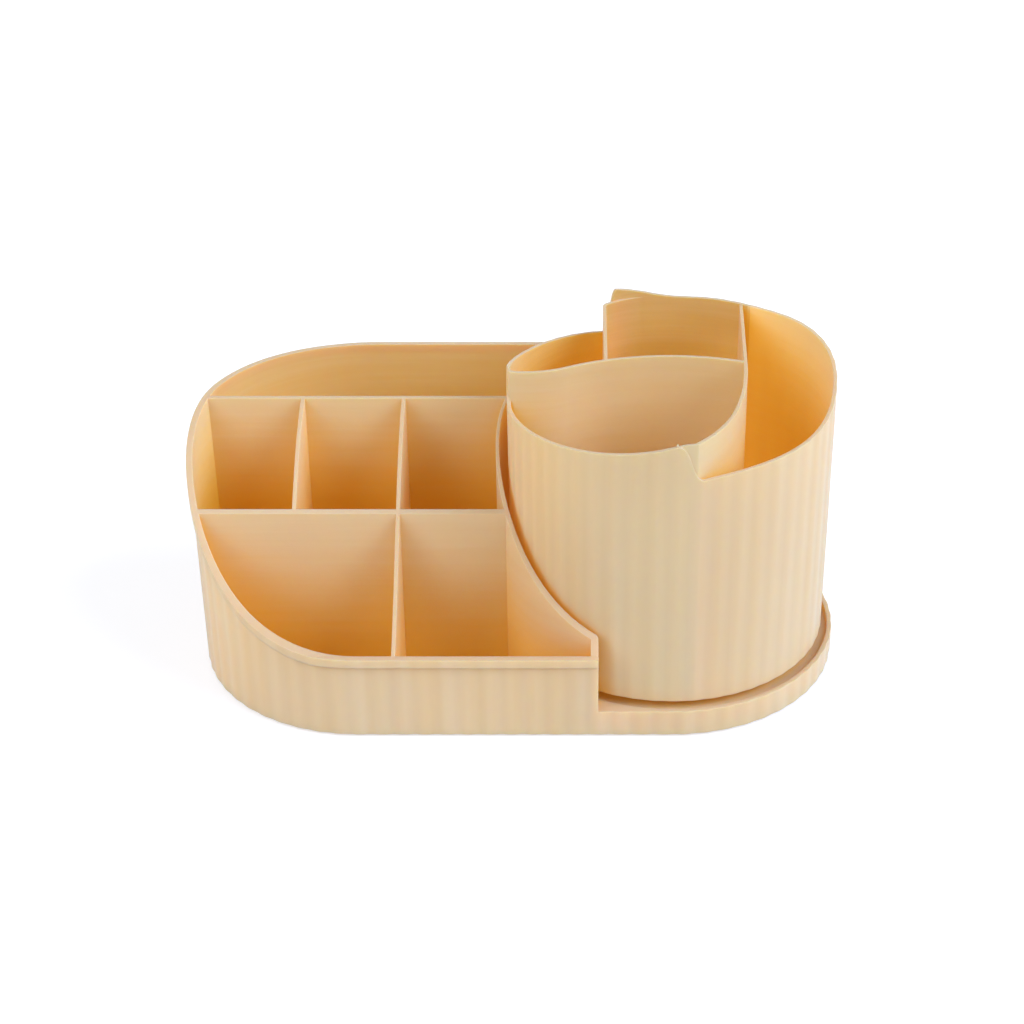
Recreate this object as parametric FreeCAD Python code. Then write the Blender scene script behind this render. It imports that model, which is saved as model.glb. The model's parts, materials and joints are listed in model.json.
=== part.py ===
import FreeCAD, Part
import os
from math import acos, cos, degrees, pi, radians, sin

os.makedirs("parts", exist_ok=True)

Vector = FreeCAD.Vector

# Desk tray with fixed compartments and a turning cup on a glide ring.
# All sizes are in millimetres and degrees. Heights are measured from the underside of the tray.

# Tray plan: two straight sides joined by two round ends, as wide as the recess for the cup and its lip
tray_straight = 123.75
tray_draft = 0.01
tray_wall = 1.3
tray_flutes = 80
tray_flute_depth = 0.28
tray_flute_start = 7.2

# Tray rim: low and level along the front, one sweep up over the sides to a slight crest, level along the back
front_rim_height = 36.5
back_rim_height = 103.3
sweep_start = 0.5
sweep_end = 31.4
sweep_start_run = 32.1
sweep_start_slope = 0.614
sweep_end_run = 41.0
sweep_end_rise = 0.3
crest_slope = 0.05
rim_band_height = 3.6
rim_band_proud = 1.25

# Tray compartments
cell_floor = 2.2
partition_thickness = 1.5
back_partition_y = 22.35
front_partition_y = -23.75
left_divider_x = -88.5
right_divider_x = -47.0

# Round recess for the cup, with a low lip where the tray walls step down
recess_gap = 2.7
recess_draft = 0.0165
recess_floor = 9.2
recess_floor_thickness = 2.0
recess_wall = 2.7
lip_height = 10.95
lip_wall = 1.8
step_back = 29.2
end_wall = 2.9
end_wall_corner_radius = 1.8
skirt_wall = 2.2

# Underside of the recess: collar for the pivot, stiffening ribs and foot posts
collar_wall = 2.6
collar_bottom = 3.6
collar_top = 10.4
rib_count = 6
rib_thickness = 1.4
rib_bottom = 3.4

# Rubber feet in shallow pockets
foot_radius = 6.0
foot_thickness = 1.6
foot_proud = 1.0
foot_fit = 0.05
foot_post_wall = 1.5
foot_inset = 20.0

# Cup: fluted drum with a drafted wall
cup_bottom = 12.7
cup_bottom_radius = 65.0
cup_draft = 0.0062
cup_wall = 1.5
cup_flutes = 50
cup_flute_depth = 0.2
cup_flute_start = -69.5
cup_floor_thickness = 2.0
cup_skirt_wall = 2.2
cup_top = 140.0

# Cup rim: three blades, each one low where it starts and high where it ends.
# Each pair is the angle around the axis and the share of the way up from the blade's low to its high.
right_blade_low = 113.2
right_blade_high = 133.3
right_blade = [(-81.0, 0.0), (-52.0, 0.14), (-22.0, 0.31), (-8.0, 0.54), (4.0, 0.72), (16.0, 0.81),
               (34.0, 0.84), (53.0, 0.785), (75.0, 0.77), (90.0, 0.775), (99.0, 0.885), (108.9, 1.0)]
left_blade_low = 114.5
left_blade_high = 127.4
left_blade = [(113.9, 0.0), (130.0, 0.19), (146.0, 0.37), (162.0, 0.61), (174.0, 0.87), (179.0, 1.0)]
front_blade_low = 114.0
front_blade_high = 127.8
front_blade = [(188.0, 0.0), (206.0, 0.16), (225.0, 0.33), (243.0, 0.52), (256.0, 0.71), (270.0, 1.0)]
blade_fall_roundness = 0.55

# Cup partitions, which leave the wall as the ends of the blades and have level tops
cup_partition_top = 128.6
cup_partition_thickness = 1.3
partition_corner_radius = 3.2
partition_sink = 0.2
rise_past_top = 0.3
right_partition_angle = 274.6
right_partition_turn = 39.6
right_partition_bend_radius = 61.5
right_partition_bend = 28.4
right_partition_ease_radius = 145.0
right_partition_ease = 15.4
left_partition_angle = 93.0
left_partition_peel_radius = 38.0
left_partition_offset = 26.0
front_partition_angle = 182.4
front_partition_turn = 81.4
front_partition_dip_radius = 36.0
front_partition_dip = 33.9
front_partition_arch_radius = 88.4
front_partition_arch = 56.0

# Turntable: a track ring on the tray carries a glide ring under the cup
track_inner_radius = 30.0
track_outer_radius = 43.0
track_thickness = 2.4
glide_inner_radius = 33.0
glide_outer_radius = 40.0
glide_thickness = 2.4
glide_clearance = 0.2

# Pivot: a hub under the cup turns in the collar and is held from below
hub_radius = 6.0
hub_fit = 0.08
hub_tip_clearance = 0.2
washer_radius = 9.2
washer_thickness = 1.0
pivot_screw_radius = 1.5
pivot_screw_length = 10.0
screw_fit = 0.05
pivot_head_radius = 3.6
pivot_head_height = 1.8

# Cutting solids run past the faces that they open by a little, and clear of the whole part by the reach
over = 1.0
reach = 60.0

# Places that follow from the sizes above
axis_x = tray_straight / 2
recess_radius = cup_bottom_radius + recess_gap
recess_wall_outer_radius = recess_radius + recess_wall
tray_half_width = recess_radius + lip_wall
step_x = axis_x - step_back
track_top = recess_floor + track_thickness
glide_bottom = track_top + glide_clearance
glide_top = glide_bottom + glide_thickness
cup_floor_top = glide_top + cup_floor_thickness
left_rim_flare = tray_draft * back_rim_height + rim_band_proud
lip_flare = tray_draft * lip_height
front_rim_flare = tray_draft * front_rim_height + rim_band_proud
origin_shift = Vector((left_rim_flare - lip_flare) / 2, (front_rim_flare - left_rim_flare) / 2, foot_proud)


def polar(radius, angle, height=0.0):
    """Point at a radius and an angle in degrees around the Z axis."""
    return Vector(radius * cos(radians(angle)), radius * sin(radians(angle)), height)


def at_axis(shape):
    """Move a shape made around the Z axis to the axis of the cup."""
    return shape.translated(Vector(axis_x, 0, 0))


def cylinder(radius, bottom, top, x=0.0, y=0.0):
    return Part.makeCylinder(radius, top - bottom, Vector(x, y, bottom))


def tube(outer_radius, inner_radius, bottom, top):
    return cylinder(outer_radius, bottom, top).cut(cylinder(inner_radius, bottom - over, top + over))


def drafted_disc(radius, draft, base, bottom, top):
    """Cone whose radius is given at the height base and grows with height by the draft."""
    return Part.makeCone(radius + draft * (bottom - base), radius + draft * (top - base), top - bottom,
                         Vector(0, 0, bottom))


def box(x0, x1, y0, y1, z0, z1):
    return Part.makeBox(x1 - x0, y1 - y0, z1 - z0, Vector(x0, y0, z0))


# Wavy outlines

def tray_outline_point(length, offset, height):
    """Point on the tray outline after a length along it, moved outwards by an offset."""
    half_turn = pi * tray_half_width
    lap = 2 * (tray_straight + half_turn)
    length = length % lap
    radius = tray_half_width + offset
    if length < tray_straight:
        return Vector(length - tray_straight / 2, -radius, height)
    length -= tray_straight
    if length < half_turn:
        end = polar(radius, degrees(length / tray_half_width) - 90)
        return Vector(axis_x + end.x, end.y, height)
    length -= half_turn
    if length < tray_straight:
        return Vector(tray_straight / 2 - length, radius, height)
    length -= tray_straight
    end = polar(radius, degrees(length / tray_half_width) + 90)
    return Vector(end.x - axis_x, end.y, height)


def wavy_wire(place, count, depth):
    """Closed wire of tangent arcs that swing in and out, two for each flute."""
    arcs = []
    for half in range(2 * count):
        swing = depth / 2 if half % 2 == 0 else -depth / 2
        start = place(half / 2 / count, 0.0)
        peak = place((half + 0.5) / 2 / count, swing)
        end = place((half + 1) / 2 / count, 0.0)
        arcs.append(Part.Arc(start, peak, end).toShape())
    return Part.Wire(arcs)


def tray_fluted_wire(height):
    lap = 2 * (tray_straight + pi * tray_half_width)
    spread = tray_draft * height - tray_flute_depth / 2

    def place(share, swing):
        return tray_outline_point(tray_flute_start + share * lap, spread + swing, height)

    return wavy_wire(place, tray_flutes, tray_flute_depth)


def cup_fluted_wire(height):
    spread = cup_bottom_radius + cup_draft * (height - cup_bottom) - cup_flute_depth / 2

    def place(share, swing):
        return polar(spread + swing, cup_flute_start + 360 * share, height)

    return wavy_wire(place, cup_flutes, cup_flute_depth)


def stadium_wire(offset, height):
    """Smooth outline of the tray, moved outwards by an offset."""
    radius = tray_half_width + offset
    left, right = -tray_straight / 2, tray_straight / 2
    front_left = Vector(left, -radius, height)
    front_right = Vector(right, -radius, height)
    back_right = Vector(right, radius, height)
    back_left = Vector(left, radius, height)
    return Part.Wire([
        Part.makeLine(front_left, front_right),
        Part.Arc(front_right, Vector(right + radius, 0, height), back_right).toShape(),
        Part.makeLine(back_right, back_left),
        Part.Arc(back_left, Vector(left - radius, 0, height), front_left).toShape(),
    ])


def stadium_solid(offset, draft, bottom, top):
    wires = [stadium_wire(offset + draft * bottom, bottom), stadium_wire(offset + draft * top, top)]
    return Part.makeLoft(wires, True, True)


# Tray

def above_rim(drop):
    """Everything above the side profile of the rim, lowered by a drop, left of the step."""
    front = -tray_half_width
    start = Vector(0, front + sweep_start, front_rim_height - drop)
    end = Vector(0, front + tray_half_width + sweep_end, back_rim_height + sweep_end_rise - drop)
    back = Vector(0, tray_half_width, back_rim_height - drop)
    crest_run = (back.y - end.y) / 2
    sweep = Part.BezierCurve()
    sweep.setPoles([
        start,
        start + Vector(0, sweep_start_run, sweep_start_run * sweep_start_slope),
        end - Vector(0, sweep_end_run, sweep_end_run * crest_slope),
        end,
    ])
    crest = Part.BezierCurve()
    crest.setPoles([end, end + Vector(0, crest_run, crest_run * crest_slope), back])
    low = Vector(0, front - reach, start.z)
    high = Vector(0, tray_half_width + reach, back.z)
    top = back_rim_height + reach
    roof = [Vector(0, high.y, top), Vector(0, low.y, top)]
    outline = Part.Wire([
        Part.makeLine(low, start),
        sweep.toShape(),
        crest.toShape(),
        Part.makeLine(back, high),
        Part.makeLine(high, roof[0]),
        Part.makeLine(roof[0], roof[1]),
        Part.makeLine(roof[1], low),
    ])
    left = -tray_straight / 2 - tray_half_width - reach
    return Part.Face(outline).translated(Vector(left, 0, 0)).extrude(Vector(step_x - left, 0, 0))


def right_of_step(bottom):
    far = tray_straight / 2 + tray_half_width + reach
    side = tray_half_width + reach
    return box(step_x, far, -side, side, bottom, back_rim_height + reach)


def tray_outside():
    """Fluted body and the plain band that stands proud along its rim."""
    top = back_rim_height + over
    body = Part.makeLoft([tray_fluted_wire(0), tray_fluted_wire(top)], True, True)
    body = body.cut(above_rim(0)).cut(right_of_step(lip_height))
    band = stadium_solid(rim_band_proud, tray_draft, 0, top)
    band = band.cut(stadium_solid(-tray_wall, tray_draft, -over, top + over))
    band = band.common(above_rim(rim_band_height)).cut(above_rim(0))
    return body.fuse(band)


def tray_cells():
    """Room inside the compartments, which is cut out of the tray."""
    top = back_rim_height + over
    room = stadium_solid(-tray_wall, tray_draft, cell_floor, top)
    half = partition_thickness / 2
    far = tray_straight / 2 + tray_half_width
    room = room.cut(at_axis(cylinder(recess_wall_outer_radius, 0, top + over)))
    room = room.cut(box(step_x - end_wall, far, -far, far, 0, top + over))
    for y in (back_partition_y, front_partition_y):
        room = room.cut(box(-far, far, y - half, y + half, 0, top + over))
    for x, front in ((left_divider_x, front_partition_y), (right_divider_x, -far)):
        room = room.cut(box(x - half, x + half, front, back_partition_y, 0, top + over))
    return room


def foot_places():
    """Four feet, two under each end of the tray."""
    side = tray_half_width - foot_inset - foot_radius
    return [(x, y) for x in (-axis_x - foot_inset, axis_x + foot_inset) for y in (-side, side)]


def recess_underside():
    """Collar and ribs below the recess floor, around the Z axis."""
    under = recess_floor - recess_floor_thickness / 2
    collar_radius = hub_radius + hub_fit + collar_wall
    ribs = []
    for k in range(rib_count):
        rib = box(collar_radius - over, recess_radius, -rib_thickness / 2, rib_thickness / 2, rib_bottom, under)
        rib.rotate(Vector(0, 0, 0), Vector(0, 0, 1), 360 * (k + 0.5) / rib_count)
        ribs.append(rib)
    collar = cylinder(collar_radius, collar_bottom, collar_top)
    return collar.fuse(ribs)


def round_end_wall(tray):
    """Round the upright corners where the step meets the recess."""
    corners = [edge for edge in tray.Edges
               if min(vertex.Point.z for vertex in edge.Vertexes) > lip_height - over
               and all(abs(vertex.X - step_x) < over for vertex in edge.Vertexes)
               and edge.BoundBox.ZLength > lip_height
               and abs(edge.BoundBox.Center.y) < recess_radius]
    return tray.makeFillet(end_wall_corner_radius, corners)


def make_tray():
    tray = tray_outside().cut(tray_cells())
    recess = drafted_disc(recess_radius, recess_draft, lip_height, recess_floor, back_rim_height + reach)
    tray = round_end_wall(tray.cut(at_axis(recess)))
    hollow_radius = recess_radius - skirt_wall
    hollow = cylinder(hollow_radius, -over, recess_floor - recess_floor_thickness)
    tray = tray.cut(at_axis(hollow))
    tray = tray.fuse(at_axis(recess_underside().common(cylinder(hollow_radius + over, 0, collar_top))))
    post_radius = foot_radius + foot_fit + foot_post_wall
    posts = [cylinder(post_radius, 0, recess_floor - recess_floor_thickness / 2, x, y)
             for x, y in foot_places() if x > step_x]
    tray = tray.fuse(posts)
    pockets = [cylinder(foot_radius + foot_fit, -over, foot_thickness - foot_proud, x, y) for x, y in foot_places()]
    bore = at_axis(cylinder(hub_radius + hub_fit, -over, collar_top + over))
    return tray.cut(pockets + [bore]).removeSplitter()


# Cup

def blade_points(blade, low, high):
    """Angles and heights of one blade."""
    return [(angle, low + share * (high - low)) for angle, share in blade]


def cup_blades():
    return [
        blade_points(right_blade, right_blade_low, right_blade_high),
        blade_points(left_blade, left_blade_low, left_blade_high),
        blade_points(front_blade, front_blade_low, front_blade_high),
    ]


def rim_radii():
    """Radii well inside and well outside the wall, between which the rim is cut."""
    return cup_bottom_radius - 4 * cup_wall, cup_bottom_radius + 4 * cup_wall


def rim_edge(points, radius):
    """Smooth curve through the points of one blade, at a radius."""
    curve = Part.BSplineCurve()
    curve.interpolate([polar(radius, angle, height) for angle, height in points])
    return curve.toShape()


def fall_edge(high, low, radius):
    """Double bend from the end of one blade down to the start of the next."""
    span = low[0] - high[0]
    bend = blade_fall_roundness * span
    curve = Part.BezierCurve()
    curve.setPoles([
        polar(radius, high[0], high[1]),
        polar(radius, high[0] + bend, high[1]),
        polar(radius, low[0] - bend, low[1]),
        polar(radius, low[0], low[1]),
    ])
    return curve.toShape()


def above_cup_rim():
    """Everything above the three blades, as a ring that takes in the whole wall."""
    inner, outer = rim_radii()
    blades = cup_blades()
    slices = []
    for k, blade in enumerate(blades):
        following = blades[(k + 1) % len(blades)][0]
        low = (following[0] + (360 if following[0] < blade[-1][0] else 0), following[1])
        for edge in (lambda radius: rim_edge(blade, radius), lambda radius: fall_edge(blade[-1], low, radius)):
            sheet = Part.makeRuledSurface(edge(inner), edge(outer))
            slices.append(sheet.extrude(Vector(0, 0, cup_top)))
    return slices[0].fuse(slices[1:])


def turtle_path(start, heading, bends):
    """Wire of tangent arcs and lines. Each bend is a radius and a turn to the left, or a length and 0."""
    edges = []
    point = start
    for size, turn in bends:
        if turn == 0:
            end = point + polar(size, heading)
            edges.append(Part.makeLine(point, end))
        else:
            side = 1 if turn > 0 else -1
            centre = point + polar(size, heading + 90 * side)
            middle = centre + polar(size, heading - 90 * side + turn / 2)
            end = centre + polar(size, heading - 90 * side + turn)
            edges.append(Part.Arc(point, middle, end).toShape())
        point = end
        heading += turn
    return Part.Wire(edges)


def partition_strip(path):
    """Upright wall of even thickness along a path in plan."""
    outline = path.makeOffset2D(cup_partition_thickness / 2, 0, False, False)
    face = Part.Face(outline).translated(Vector(0, 0, glide_top))
    return face.extrude(Vector(0, 0, cup_partition_top - glide_top))


def partition_lap_radius():
    """Centre line radius of a partition where it still lies inside the wall."""
    wall_inside = cup_bottom_radius + cup_draft * (cup_partition_top - cup_bottom) - cup_wall
    return wall_inside + partition_sink + cup_partition_thickness / 2


def rise_edge(start, end, radius):
    """Single bend from the end of a blade up past the level top of its partition."""
    curve = Part.BezierCurve()
    curve.setPoles([
        polar(radius, start[0], start[1]),
        polar(radius, (start[0] + end[0]) / 2, end[1]),
        polar(radius, end[0], end[1]),
    ])
    return curve.toShape()


def blade_partition(blade_end, angle, bends):
    """Partition that carries on from the end of a blade and leaves the wall at an angle."""
    radius = partition_lap_radius()
    path = turtle_path(polar(radius, blade_end[0]), blade_end[0] + 90, [(radius, angle - blade_end[0])] + bends)
    rise_end = (angle + degrees(partition_corner_radius / radius), cup_partition_top + rise_past_top)
    inner, outer = [rise_edge(blade_end, rise_end, edge_radius) for edge_radius in rim_radii()]
    above = Part.makeRuledSurface(inner, outer).extrude(Vector(0, 0, cup_top))
    return partition_strip(path).cut(above)


def right_partition():
    return blade_partition(cup_blades()[2][-1], right_partition_angle, [
        (partition_corner_radius, right_partition_turn),
        (right_partition_bend_radius, right_partition_bend),
        (right_partition_ease_radius, right_partition_ease),
        (2 * cup_bottom_radius, 0),
    ])


def front_partition():
    return blade_partition(cup_blades()[1][-1], front_partition_angle, [
        (partition_corner_radius, front_partition_turn),
        (front_partition_dip_radius, front_partition_dip),
        (front_partition_arch_radius, -front_partition_arch),
    ])


def left_partition():
    """Partition that peels slowly off the wall, then turns in one corner and runs straight to the front."""
    radius = partition_lap_radius()
    start = left_partition_angle
    peel_radius = left_partition_peel_radius
    corner = partition_corner_radius
    shift = (radius - peel_radius) * cos(radians(start))
    angle = degrees(acos((corner - left_partition_offset - shift) / (peel_radius - corner)))
    path = turtle_path(polar(radius, start), start + 90, [
        (peel_radius, angle - start),
        (corner, 180 - angle),
        (radius, 0),
    ])
    return partition_strip(path)


def cup_partitions():
    """The three partitions, each one cut off where it meets the next."""
    right = right_partition()
    front = largest(front_partition().cut(right))
    left = largest(left_partition().cut(front))
    return right.fuse([front, left])


def largest(shape):
    return max(shape.Solids, key=lambda solid: solid.Volume)


def make_cup():
    body = Part.makeLoft([cup_fluted_wire(cup_bottom), cup_fluted_wire(cup_top)], True, True)
    room = drafted_disc(cup_bottom_radius - cup_wall, cup_draft, cup_bottom, cup_floor_top, cup_top + over)
    under = cylinder(cup_bottom_radius - cup_skirt_wall, 0, glide_top)
    wall = body.cut(room).cut(under).cut(above_cup_rim())
    middle = drafted_disc(cup_bottom_radius - cup_wall / 2, cup_draft, cup_bottom, glide_top, cup_top)
    hub_bottom = collar_bottom - hub_tip_clearance
    hub = cylinder(hub_radius, hub_bottom, glide_top + over)
    cup = wall.fuse([cup_partitions().common(middle), hub])
    pivot_hole_top = hub_bottom - washer_thickness + pivot_screw_length + screw_fit
    pivot_hole = cylinder(pivot_screw_radius + screw_fit, hub_bottom - over, pivot_hole_top)
    return at_axis(cup.cut(pivot_hole).removeSplitter())


# Turntable

def make_track_ring():
    return at_axis(tube(track_outer_radius, track_inner_radius, recess_floor, track_top))


def make_glide_ring():
    return at_axis(tube(glide_outer_radius, glide_inner_radius, glide_bottom, glide_top))


def make_pivot_washer():
    top = collar_bottom - hub_tip_clearance
    return at_axis(tube(washer_radius, pivot_screw_radius + screw_fit, top - washer_thickness, top))


def make_pivot_screw():
    seat = collar_bottom - hub_tip_clearance - washer_thickness
    head = cylinder(pivot_head_radius, seat - pivot_head_height, seat)
    shank = cylinder(pivot_screw_radius, seat, seat + pivot_screw_length)
    return at_axis(head.fuse(shank))


def make_foot(x, y):
    return cylinder(foot_radius, -foot_proud, foot_thickness - foot_proud, x, y)


def save(name, shape):
    solid = shape.translated(origin_shift)
    solid.exportStep("parts/" + name + ".step")
    print(name, len(solid.Solids), round(solid.Volume, 1), solid.isValid())


save("tray", make_tray())
save("cup", make_cup())
save("track_ring", make_track_ring())
save("glide_ring", make_glide_ring())
save("pivot_washer", make_pivot_washer())
save("pivot_screw", make_pivot_screw())
for number, (foot_x, foot_y) in enumerate(foot_places(), 1):
    save("foot_" + str(number), make_foot(foot_x, foot_y))
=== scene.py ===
import json
import math
from collections import namedtuple

import bpy
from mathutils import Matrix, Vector

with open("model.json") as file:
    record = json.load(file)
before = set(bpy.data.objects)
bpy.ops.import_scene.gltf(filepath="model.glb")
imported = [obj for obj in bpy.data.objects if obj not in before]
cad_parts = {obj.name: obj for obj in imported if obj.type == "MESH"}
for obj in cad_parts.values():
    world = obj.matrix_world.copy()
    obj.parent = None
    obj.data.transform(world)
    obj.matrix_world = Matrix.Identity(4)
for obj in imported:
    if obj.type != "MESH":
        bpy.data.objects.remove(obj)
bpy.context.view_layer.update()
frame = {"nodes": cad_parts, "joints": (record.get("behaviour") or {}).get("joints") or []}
nodes = frame["nodes"]
pivot = Vector(frame["joints"][0]["pos_m"])


def srgb(red, green, blue):
    """Colour written as it shows on screen, from 0 to 255, as a linear colour."""
    linear = [(c / 255) / 12.92 if c <= 10 else ((c / 255 + 0.055) / 1.055) ** 2.4 for c in (red, green, blue)]
    return (*linear, 1.0)


# Sizes that the materials share with the CAD model, in metres. Cup places are measured from the pivot.

CUP_FLUTES = 50
CUP_FIRST_FLUTE = math.radians(-69.5)
CUP_WALL_RADIUS = 0.0642         # between the wall's two faces, at the pivot's height
CUP_WALL_DRAFT = 0.0062
GATE_TURN = math.radians(46.3)   # from the first flute
GATE_HALF_WIDTH = 0.004
GATE_LOW = 0.1165
PARTITION_SLOPE = 0.094          # how the right partition leans to the right on its way back
PARTITION_LEFT = 0.0290
PARTITION_RIGHT = 0.0302
CUP_BACK_RAMP = (0.008, 0.030)   # from the axis backwards
GLOW_ACROSS_RAMP = (0.056, 0.032)
GLOW_BACK_RAMP = (0.010, 0.034)

TRAY_HALF_LENGTH = 0.061875      # of the straight front
TRAY_END_RADIUS = 0.0695
TRAY_WALL_RADIUS = 0.0687
TRAY_WALL_DRAFT = 0.01
TRAY_FLUTE_PITCH = 0.0085521
TRAY_FIRST_FLUTE = 0.0072        # from the left end of the straight front
TRAY_BACK_RAMP = (0.021, 0.029)  # from the middle backwards, across the wall of the back cell

# Colours of the peach plastic, with painted shade, a painted edge highlight and painted glow

PEACH = srgb(243, 205, 151)
PEACH_DARK = srgb(240, 200, 146)
# Pale for the flow lines and the gate mark, and for the painted highlight along the edges
PEACH_PALE = srgb(250, 222, 186)
# Painted shade for faces that look upward
PEACH_TOP_SHADE = srgb(202, 171, 130)
# Painted shade in the hollows of the flutes
PEACH_FLUTE_SHADE = srgb(220, 184, 138)
# Painted shade: the deep orange of narrow places and of the gaps between parts
ORANGE_DEEP_SHADE = srgb(250, 188, 10)
# Painted glow: emission that stands in for light passing through the plastic into the cells and gaps
GLOW = (1.0, 0.54, 0.08, 1.0)
SLOT_GLOW = 0.05
WALL_GLOW = 0.16

# How open a place is where each tone starts and where it is full, from 1 in the open towards 0 in a narrow place.
# The tones are painted shade in narrow places and in the back cells, with a painted glow in narrow places.

SLOT_RANGE = (0.40, 0.10)
TRAY_TONES = {
    "shaded": srgb(240, 184, 88),
    "shade_range": (0.57, 0.20),
    "deep_range": (0.30, 0.02),
    "back_cell_shade": srgb(238, 183, 112),
    "deep_glow": 0.035,
}
CUP_TONES = {
    "shaded": srgb(232, 186, 88),
    "shade_range": (0.60, 0.20),
    "deep_range": (0.30, 0.03),
    "back_cell_shade": srgb(219, 174, 107),
    "deep_glow": 0.11,
}

# Light and floor

KEY_WHITE = (0.95, 1.11, 1.56)
FILL_WHITE = (0.93, 1.0, 1.24)
ROOM_LEVEL = 0.50
FLOOR_GREY = srgb(180, 180, 180)
FLOOR_GLOW = 0.62                # brings the lit floor up to white


# Camera at the photograph's viewpoint. The shift is the off-centre crop of the photograph.

def add_camera():
    data = bpy.data.cameras.new("camera")
    data.sensor_width = 36.0
    data.lens = 72.911
    data.shift_x = -0.06384
    data.shift_y = -0.12755
    data.clip_start = 0.01
    data.clip_end = 50.0
    camera = bpy.data.objects.new("camera", data)
    bpy.context.scene.collection.objects.link(camera)
    camera.location = (0.0256, -0.7335, 0.5032)
    camera.rotation_euler = (math.radians(90 - 27.452), 0, 0)
    bpy.context.scene.camera = camera


# Node helpers

class Nodes:
    """Adds nodes to a tree and links them by name."""

    def __init__(self, tree):
        self.tree = tree
        tree.nodes.clear()

    def set(self, socket, value):
        if isinstance(value, bpy.types.NodeSocket):
            self.tree.links.new(value, socket)
        else:
            socket.default_value = value

    def add(self, kind, inputs=None, **settings):
        node = self.tree.nodes.new(kind)
        for name, value in settings.items():
            setattr(node, name, value)
        for name, value in (inputs or {}).items():
            self.set(node.inputs[name], value)
        return node

    def object_place(self):
        return self.add("ShaderNodeTexCoord").outputs["Object"]

    def noise(self, place, scale, detail=3.0, roughness=0.5):
        node = self.add("ShaderNodeTexNoise", {"Vector": place, "Scale": scale, "Detail": detail,
                                               "Roughness": roughness})
        return node.outputs["Fac"]

    def stretched(self, place, scale):
        return self.add("ShaderNodeMapping", {"Vector": place, "Scale": scale}).outputs["Vector"]

    def ranged(self, value, low, high, new_low=0.0, new_high=1.0):
        node = self.add("ShaderNodeMapRange", {"Value": value, "From Min": low, "From Max": high,
                                               "To Min": new_low, "To Max": new_high})
        return node.outputs["Result"]

    def maths(self, operation, *values):
        return self.add("ShaderNodeMath", dict(enumerate(values)), operation=operation).outputs["Value"]

    def product(self, first, *others):
        for value in others:
            first = self.maths("MULTIPLY", first, value)
        return first

    def vector_maths(self, operation, *vectors):
        return self.add("ShaderNodeVectorMath", dict(enumerate(vectors)), operation=operation).outputs

    def separated(self, vector):
        return self.add("ShaderNodeSeparateXYZ", {"Vector": vector}).outputs

    def mixed(self, factor, first, second):
        node = self.add("ShaderNodeMix", data_type="RGBA")
        colours = [socket for socket in node.inputs if socket.type == "RGBA"]
        for socket, value in zip([node.inputs[0], *colours], (factor, first, second)):
            self.set(socket, value)
        return [socket for socket in node.outputs if socket.type == "RGBA"][0]

    def bump(self, strength, distance, height, normal=None):
        inputs = {"Strength": strength, "Distance": distance, "Height": height}
        if normal is not None:
            inputs["Normal"] = normal
        return self.add("ShaderNodeBump", inputs).outputs["Normal"]

    def finish(self, shader):
        self.add("ShaderNodeOutputMaterial", {"Surface": shader})


def new_material(name):
    material = bpy.data.materials.new(name)
    material.use_nodes = True
    return material, Nodes(material.node_tree)


# Where a point lies on a moulding. flutes is the height of the flutes from -1 to 1, in step with the CAD flutes. The
# others are 1 where they hold: on the outer face, on the gate mark, in the back cells, which get a painted shade, and
# on the cup's wall beside its right partition, which gets a painted glow.

Places = namedtuple("Places", "flutes outside gate back beside")


def outer_face(build, across, away, height, radius, draft):
    """1 outside a circle that grows with the height, and 0 inside it."""
    flat = build.add("ShaderNodeCombineXYZ", {"X": across, "Y": away}).outputs["Vector"]
    distance = build.vector_maths("LENGTH", flat)["Value"]
    limit = build.maths("ADD", build.product(height, draft), radius)
    return build.maths("GREATER_THAN", distance, limit)


def cup_places(build, place):
    x, y, z = build.separated(build.vector_maths("SUBTRACT", place, pivot)["Vector"])
    turn = build.maths("SUBTRACT", build.maths("ARCTAN2", y, x), CUP_FIRST_FLUTE)
    flutes = build.maths("SINE", build.product(turn, CUP_FLUTES))
    outside = outer_face(build, x, y, z, CUP_WALL_RADIUS, CUP_WALL_DRAFT)
    from_gate = build.maths("ABSOLUTE", build.maths("ADD", turn, GATE_TURN))
    gate = build.product(build.maths("LESS_THAN", from_gate, GATE_HALF_WIDTH),
                         build.maths("GREATER_THAN", z, GATE_LOW))
    across = build.maths("SUBTRACT", x, build.product(y, PARTITION_SLOPE))
    back = build.product(build.maths("LESS_THAN", across, PARTITION_LEFT), build.ranged(y, *CUP_BACK_RAMP))
    beside = build.product(build.maths("GREATER_THAN", across, PARTITION_RIGHT),
                           build.ranged(across, *GLOW_ACROSS_RAMP), build.ranged(y, *GLOW_BACK_RAMP))
    return Places(flutes, outside, gate, back, beside)


def tray_places(build, place):
    """Places on the tray. Its flutes run along the straight front and round the left end. It has no gate mark."""
    middle = (pivot.x - TRAY_HALF_LENGTH, pivot.y, 0.0)
    x, y, z = build.separated(build.vector_maths("SUBTRACT", place, middle)["Vector"])
    straight = build.add("ShaderNodeClamp", {"Value": x, "Min": -TRAY_HALF_LENGTH, "Max": TRAY_HALF_LENGTH})
    along = straight.outputs["Result"]
    past = build.maths("SUBTRACT", x, along)
    turn = build.maths("ARCTAN2", past, build.product(y, -1.0))
    length = build.maths("ADD", along, build.product(turn, TRAY_END_RADIUS))
    from_first = build.maths("ADD", length, TRAY_HALF_LENGTH - TRAY_FIRST_FLUTE)
    flutes = build.maths("SINE", build.product(from_first, 2 * math.pi / TRAY_FLUTE_PITCH))
    outside = outer_face(build, past, y, z, TRAY_WALL_RADIUS, TRAY_WALL_DRAFT)
    return Places(flutes, outside, gate=0.0, back=build.ranged(y, *TRAY_BACK_RAMP), beside=0.0)


def openness(build, distance, own_piece_only):
    """1 in the open and towards 0 in a narrow place."""
    node = build.add("ShaderNodeAmbientOcclusion", {"Distance": distance}, samples=6, only_local=own_piece_only)
    return node.outputs["AO"]


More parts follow.
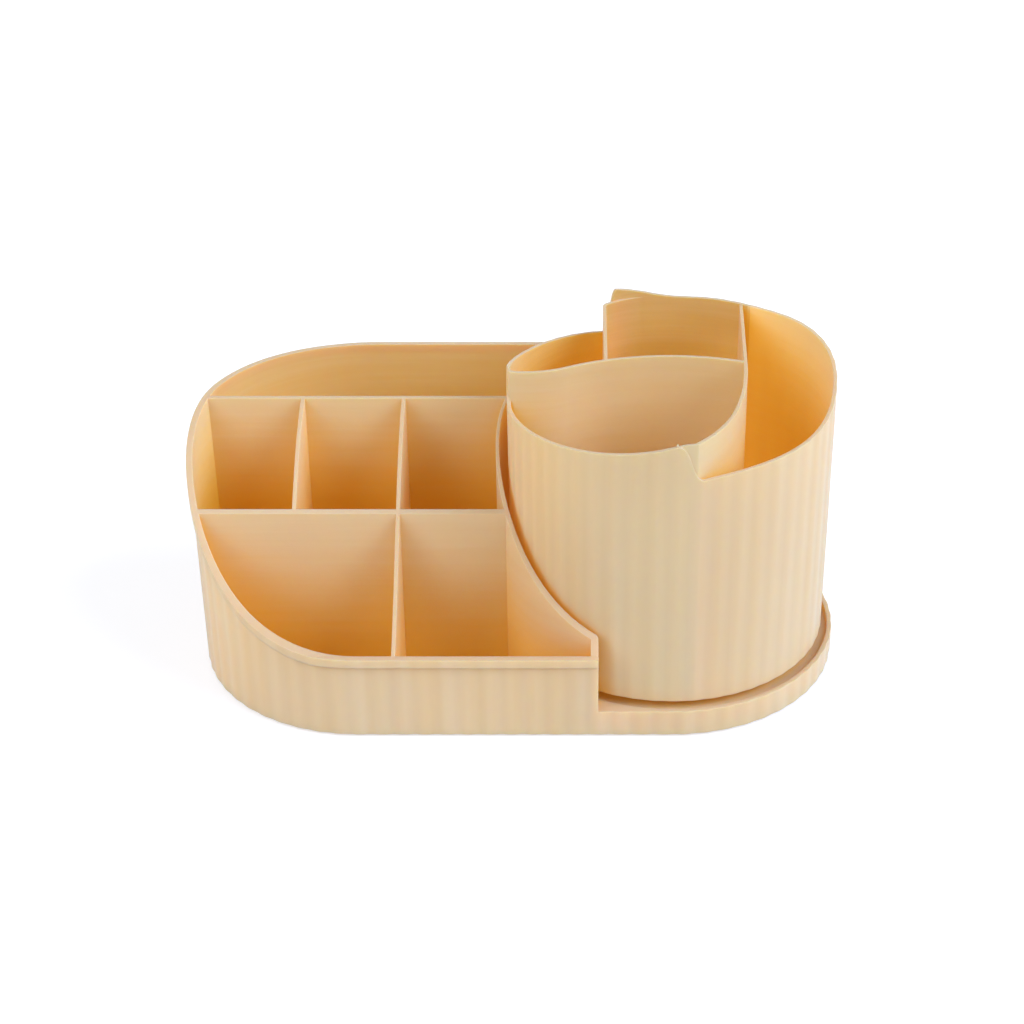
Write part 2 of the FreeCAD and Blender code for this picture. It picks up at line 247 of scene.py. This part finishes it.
def shell_plastic(name, find_places, shaded, shade_range, deep_range, back_cell_shade, deep_glow):
    """Peach moulded plastic: flutes, flow lines, grain, and painted light: a mottled painted highlight on the edges,
    painted shade on upward faces, in the flute hollows and in the back cells, orange painted shade that deepens in
    narrow places, and painted glow.
    """
    material, build = new_material(name)
    place = build.object_place()
    on = find_places(build, place)
    inside = build.maths("SUBTRACT", 1.0, on.outside)
    rounded = build.add("ShaderNodeBevel", {"Radius": 0.0004}, samples=4).outputs["Normal"]
    surface = build.add("ShaderNodeNewGeometry").outputs["Normal"]
    edge_highlight = build.ranged(build.vector_maths("DOT_PRODUCT", rounded, surface)["Value"], 0.99, 0.80)
    # Painted shade: faces that look upward are darkened
    painted_top_shade = build.ranged(build.separated(rounded)["Z"], 0.2, 0.9, 0.0, 0.9)

    clouds = build.noise(place, scale=18.0, detail=4.0)
    bands = build.noise(build.stretched(place, (90.0, 90.0, 3.0)), scale=1.0, detail=3.0, roughness=0.6)
    streaks = build.noise(build.stretched(place, (9.0, 9.0, 300.0)), scale=1.0, detail=4.0, roughness=0.6)
    grain = build.noise(place, scale=2600.0, detail=2.0)
    pits = build.noise(place, scale=420.0, detail=4.0, roughness=0.65)

    # Painted shade in narrow places, from ambient occlusion: the more enclosed a place, the deeper the orange; the
    # short mask also counts the gaps between parts
    room = openness(build, distance=0.07, own_piece_only=True)
    shade = build.ranged(room, *shade_range)
    deep_shade_and_glow = build.ranged(room, *deep_range)
    gap_shade_and_glow = build.ranged(openness(build, distance=0.012, own_piece_only=False), *SLOT_RANGE)
    # The painted shade of narrow places is halved in the back cells, which get their own painted shade
    less_at_back = build.ranged(on.back, 0.0, 1.0, 1.0, 0.5)

    colour = build.mixed(build.ranged(clouds, 0.3, 0.7), PEACH, PEACH_DARK)
    for amount, tone in (
        (build.product(on.outside, build.ranged(bands, 0.35, 0.7, 0.0, 0.30)), PEACH_PALE),
        # painted shade in the hollows of the flutes
        (build.product(on.outside, build.ranged(on.flutes, -1.0, 1.0, 0.15, 0.0)), PEACH_FLUTE_SHADE),
        (build.product(on.outside, on.gate, 0.6), PEACH_PALE),
        # painted shade in the back cells
        (build.product(inside, on.back), back_cell_shade),
        (build.product(shade, less_at_back), shaded),
        (build.product(inside, build.ranged(streaks, 0.35, 0.7, 0.0, 0.14)), PEACH_PALE),
        # painted shade on upward faces
        (painted_top_shade, PEACH_TOP_SHADE),
        # painted shade in narrow places and in the gaps between parts
        (build.maths("MAXIMUM", deep_shade_and_glow, gap_shade_and_glow), ORANGE_DEEP_SHADE),
        # painted highlight along the rounded edges, mottled by the pits noise
        (build.product(edge_highlight, build.ranged(pits, 0.3, 0.6, 0.10, 0.35)), PEACH_PALE),
    ):
        colour = build.mixed(amount, colour, tone)

    flow = build.maths("ADD", build.product(bands, on.outside), build.product(streaks, inside))
    normal = build.bump(0.10, 0.0002, grain, rounded)
    normal = build.bump(0.25, 0.0006, flow, normal)
    normal = build.bump(0.3, 0.0002, build.product(on.flutes, on.outside), normal)

    # Painted glow: emission in narrow places, in the gaps between parts and on the cup's wall beside its right
    # partition, standing in for light that passes through the plastic
    painted_wall_glow = build.product(inside, on.beside, WALL_GLOW)
    painted_glow = build.maths("ADD", build.product(deep_shade_and_glow, deep_glow), painted_wall_glow)
    shader = build.add("ShaderNodeBsdfPrincipled", {
        "Base Color": colour,
        "Roughness": build.ranged(build.maths("ADD", pits, clouds), 0.7, 1.3, 0.40, 0.54),
        "Normal": normal,
        "IOR": 1.49,
        "Subsurface Weight": 0.5,
        "Subsurface Radius": (1.0, 0.52, 0.19),
        "Subsurface Scale": 0.010,
        "Specular IOR Level": 0.7,
        "Sheen Weight": 0.26,
        "Sheen Roughness": 0.4,
        "Emission Color": GLOW,
        "Emission Strength": build.maths("ADD", build.product(gap_shade_and_glow, SLOT_GLOW), painted_glow),
    })
    build.finish(shader.outputs["BSDF"])
    return material


def simple_plastic(name, colour, darker, roughness, grain_scale):
    """Small hidden parts: low-friction rings and rubber feet."""
    material, build = new_material(name)
    place = build.object_place()
    clouds = build.noise(place, scale=60.0, detail=4.0)
    grain = build.noise(place, scale=grain_scale)
    shader = build.add("ShaderNodeBsdfPrincipled", {
        "Base Color": build.mixed(build.ranged(clouds, 0.3, 0.7), colour, darker),
        "Roughness": build.ranged(grain, 0.3, 0.7, roughness - 0.08, roughness + 0.08),
        "Normal": build.bump(0.25, 0.0003, grain),
    })
    build.finish(shader.outputs["BSDF"])
    return material


def zinc_steel(name):
    """Zinc-plated steel with cloudy spots and fine turning marks."""
    material, build = new_material(name)
    place = build.object_place()
    spots = build.noise(place, scale=240.0, detail=5.0, roughness=0.7)
    turning = build.noise(build.stretched(place, (40.0, 40.0, 6000.0)), scale=1.0, detail=2.0)
    shader = build.add("ShaderNodeBsdfPrincipled", {
        "Base Color": build.mixed(build.ranged(spots, 0.3, 0.7), srgb(206, 208, 212), srgb(170, 172, 176)),
        "Roughness": build.ranged(spots, 0.3, 0.7, 0.26, 0.44),
        "Normal": build.bump(0.2, 0.0001, turning),
        "Metallic": 1.0,
    })
    build.finish(shader.outputs["BSDF"])
    return material


# Smoother shading of the CAD nodes, by modifiers alone

def smooth_by_angle():
    """Geometry nodes that shade every face smoothly and keep edges of more than 50 degrees sharp."""
    group = bpy.data.node_groups.new("smooth_by_angle", "GeometryNodeTree")
    for direction in ("INPUT", "OUTPUT"):
        group.interface.new_socket("Geometry", in_out=direction, socket_type="NodeSocketGeometry")
    build = Nodes(group)
    source = build.add("NodeGroupInput").outputs["Geometry"]
    smooth = build.add("GeometryNodeSetShadeSmooth", {"Geometry": source}, domain="FACE").outputs["Geometry"]
    angle = build.add("GeometryNodeInputMeshEdgeAngle").outputs["Unsigned Angle"]
    sharp = build.add("FunctionNodeCompare", {0: angle, 1: math.radians(50)}, operation="GREATER_THAN")
    creased = build.add("GeometryNodeSetShadeSmooth", {"Geometry": smooth, "Selection": sharp.outputs["Result"],
                                                       "Shade Smooth": False}, domain="EDGE")
    build.add("NodeGroupOutput", {"Geometry": creased.outputs["Geometry"]})
    return group


def dress(node, material, edge_width):
    """Gives a CAD node its material, joins its split corners, rounds its sharp edges and evens out its shading."""
    piece = nodes[node]
    piece.data.materials.clear()
    piece.data.materials.append(material)
    weld = piece.modifiers.new("weld", "WELD")
    weld.merge_threshold = 0.000002
    bevel = piece.modifiers.new("rounded_edges", "BEVEL")
    bevel.width = edge_width
    bevel.segments = 2
    bevel.limit_method = "ANGLE"
    bevel.angle_limit = math.radians(38)
    bevel.use_clamp_overlap = True
    piece.modifiers.new("smooth", "NODES").node_group = shading
    weighted = piece.modifiers.new("weighted_normals", "WEIGHTED_NORMAL")
    weighted.keep_sharp = True


# Floor, light and world

def add_floor():
    """Pale floor that shows as white to the camera and keeps the object's shadow."""
    bpy.ops.mesh.primitive_plane_add(size=16, location=(0, 0, -0.0002))
    floor = bpy.context.object
    floor.name = "floor"
    material, build = new_material("floor")
    path = build.add("ShaderNodeLightPath").outputs
    seen = build.maths("MAXIMUM", path["Is Camera Ray"],
                       build.maths("MAXIMUM", path["Is Glossy Ray"], path["Is Transmission Ray"]))
    plain = build.add("ShaderNodeBsdfDiffuse", {"Color": FLOOR_GREY})
    glow = build.add("ShaderNodeEmission", {"Color": (1, 1, 1, 1), "Strength": build.product(seen, FLOOR_GLOW)})
    both = build.add("ShaderNodeAddShader", {0: plain.outputs["BSDF"], 1: glow.outputs["Emission"]})
    build.finish(both.outputs["Shader"])
    floor.data.materials.append(material)


def add_sun(name, azimuth, elevation, level, colour, softness):
    """Soft sun lamp. Azimuth 0 is the camera's side and 90 the right; level 1 lights a facing surface as written."""
    data = bpy.data.lights.new(name, "SUN")
    data.energy = level * math.pi
    data.color = colour
    data.angle = math.radians(softness)
    lamp = bpy.data.objects.new(name, data)
    bpy.context.scene.collection.objects.link(lamp)
    a, e = math.radians(azimuth), math.radians(elevation)
    towards = Vector((math.sin(a) * math.cos(e), -math.cos(a) * math.cos(e), math.sin(e)))
    lamp.rotation_mode = "QUATERNION"
    lamp.rotation_quaternion = towards.to_track_quat("Z", "Y")


def add_world():
    """White backdrop for the camera, at a plainer level for the light on the object."""
    world = bpy.data.worlds.new("studio")
    bpy.context.scene.world = world
    world.use_nodes = True
    build = Nodes(world.node_tree)
    path = build.add("ShaderNodeLightPath").outputs
    room = build.add("ShaderNodeBackground", {"Color": (1, 1, 1, 1), "Strength": ROOM_LEVEL})
    backdrop = build.add("ShaderNodeBackground", {"Color": (1, 1, 1, 1), "Strength": 1.0})
    either = build.add("ShaderNodeMixShader", {0: path["Is Camera Ray"], 1: room.outputs["Background"],
                                               2: backdrop.outputs["Background"]})
    build.add("ShaderNodeOutputWorld", {"Surface": either.outputs["Shader"]})


add_camera()
add_floor()
add_world()
add_sun("key_light", azimuth=73, elevation=38, level=0.68, colour=KEY_WHITE, softness=40)
add_sun("fill_light", azimuth=-60, elevation=42, level=0.42, colour=FILL_WHITE, softness=45)
bpy.context.scene.view_settings.view_transform = "Standard"

shading = smooth_by_angle()
dress("tray", shell_plastic("tray_plastic", tray_places, **TRAY_TONES), edge_width=0.00025)
dress("cup", shell_plastic("cup_plastic", cup_places, **CUP_TONES), edge_width=0.00025)
ring_white = simple_plastic("ring_white", srgb(238, 237, 230), srgb(226, 225, 217), roughness=0.45, grain_scale=900.0)
for node in ("track_ring", "glide_ring"):
    dress(node, ring_white, edge_width=0.0002)
foot_rubber = simple_plastic("foot_rubber", srgb(222, 221, 216), srgb(205, 204, 198), roughness=0.6,
                             grain_scale=1800.0)
for node in nodes:
    if node.startswith("foot_"):
        dress(node, foot_rubber, edge_width=0.0003)
steel = zinc_steel("zinc_steel")
for node in ("pivot_washer", "pivot_screw"):
    dress(node, steel, edge_width=0.0001)
